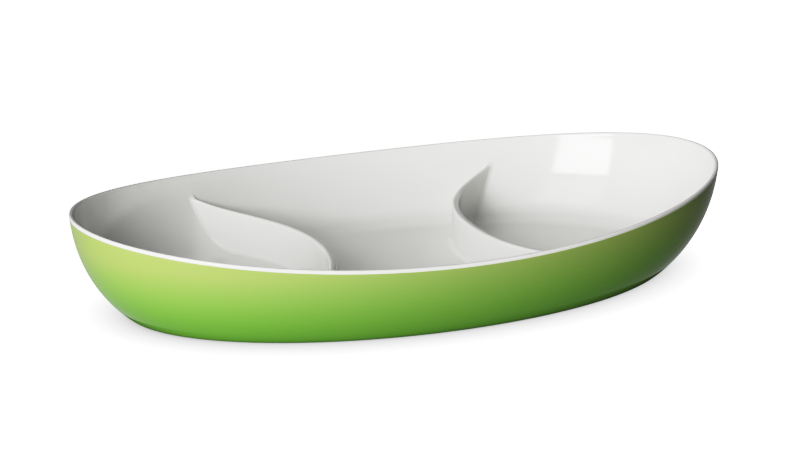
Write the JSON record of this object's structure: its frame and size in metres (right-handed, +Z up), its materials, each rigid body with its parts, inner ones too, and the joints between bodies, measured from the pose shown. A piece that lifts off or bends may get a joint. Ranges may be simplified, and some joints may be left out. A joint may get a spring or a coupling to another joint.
{
  "type": "chip and dip server",
  "caption": "Long oval serving bowl with a saddle rim, a coloured outer shell, a white liner with a wrap-over lip, and curved dividers that part the chip wells from a dip well.",
  "frame": {"origin": "centre of the underside, on the surface that the bowl rests on", "axes": "+X along the bowl, from the left well to the right well; +Y across it, towards the back; +Z up"},
  "size_m": [0.3802, 0.2182, 0.0592],
  "materials": {
    "shell_green": "glossy moulded plastic, green",
    "liner_white": "glossy moulded plastic, white"
  },
  "bodies": {
    "root": {"outer_shell": "shell_green", "inner_liner": "liner_white", "left_divider": "liner_white", "right_divider": "liner_white"}
  },
  "joints": []
}
